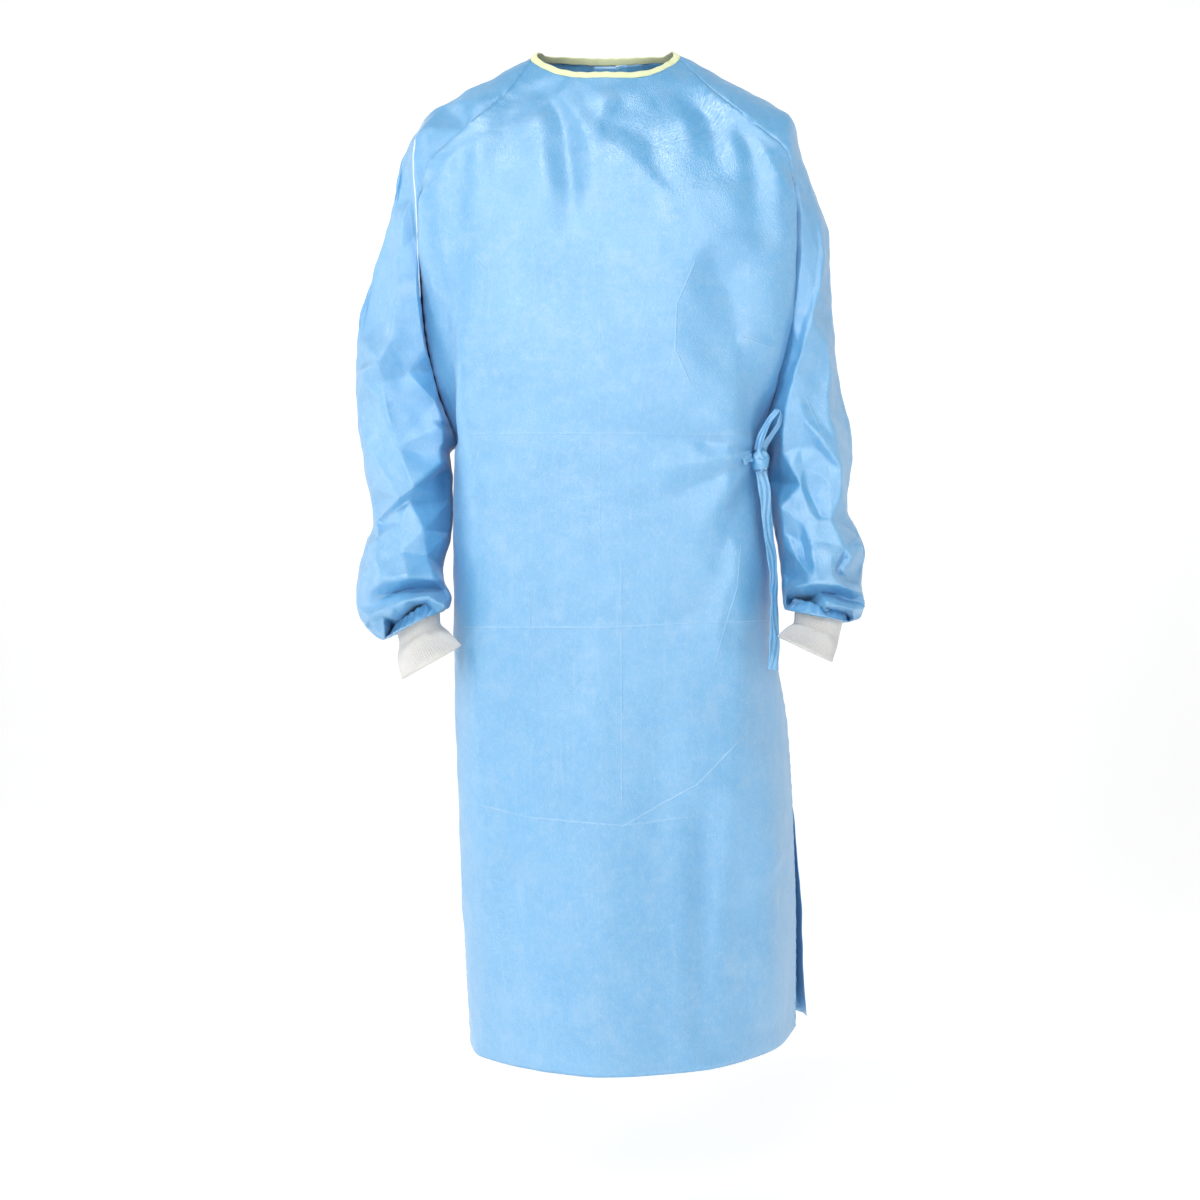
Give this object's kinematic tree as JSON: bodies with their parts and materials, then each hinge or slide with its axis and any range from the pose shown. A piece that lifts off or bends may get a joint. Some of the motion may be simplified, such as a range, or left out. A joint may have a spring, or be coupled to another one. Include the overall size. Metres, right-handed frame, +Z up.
{
  "type": "surgical gown",
  "caption": "Long-sleeved disposable surgical gown with raglan sleeves, bound neck, knitted cuffs, overlapping back and a waist tie knotted at the side, in its worn pose.",
  "frame": {"origin": "middle of the neck opening at the level of the binding on the shoulders, where the garment hangs on its wearer", "axes": "+Z up towards the wearer's head, -Y out of the wearer's chest, -X towards the wearer's right arm"},
  "size_m": [0.6174, 0.3763, 1.2289],
  "materials": {
    "cloth": "pale blue bonded nonwoven with a soft satin sheen",
    "knit": "off-white ribbed knit, matt",
    "binding": "pale yellow-green folded binding, matt"
  },
  "bodies": {
    "root": {"front_panel": "cloth", "back_panel_outer": "cloth", "back_panel_inner": "cloth", "sleeve_right": "cloth", "sleeve_left": "cloth", "cuff_right": "knit", "cuff_left": "knit", "neck_binding": "binding", "neck_tab": "cloth", "tie_knot": "cloth", "tie_loop": "cloth", "tie_tail": "cloth", "tie_stub": "cloth", "tie_back": "cloth"}
  },
  "joints": []
}
